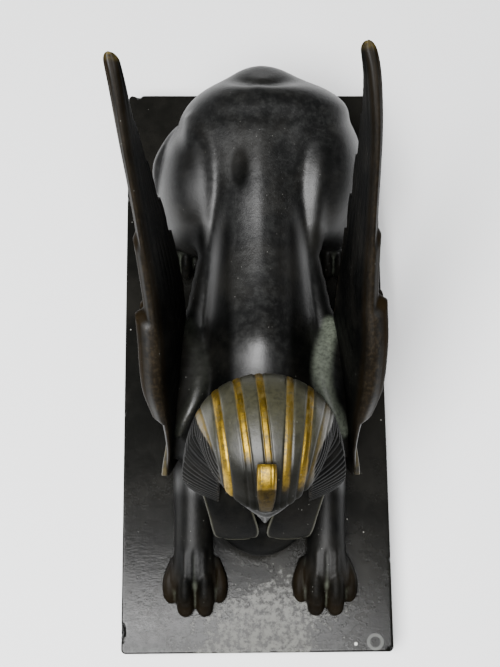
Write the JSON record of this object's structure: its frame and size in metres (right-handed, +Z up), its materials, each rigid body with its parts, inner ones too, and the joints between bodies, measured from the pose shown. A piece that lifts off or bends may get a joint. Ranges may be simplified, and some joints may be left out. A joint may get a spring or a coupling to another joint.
{
  "type": "sphinx statue",
  "caption": "Dark bronze winged sphinx lying on a thin black plinth, with a gilt-striped headcloth and raised wings.",
  "frame": {"origin": "centre of the plinth's underside", "axes": "+Z up, the figure looks along -Y, +X on its left side"},
  "size_m": [0.096, 0.212, 0.1313],
  "materials": {
    "dark_bronze": "dark brown-black patina, semi-gloss, with worn gilding on the headcloth",
    "plinth_black": "worn polish with a pale bloom"
  },
  "bodies": {
    "root": {"sphinx": "dark_bronze", "plinth": "plinth_black"}
  },
  "joints": []
}
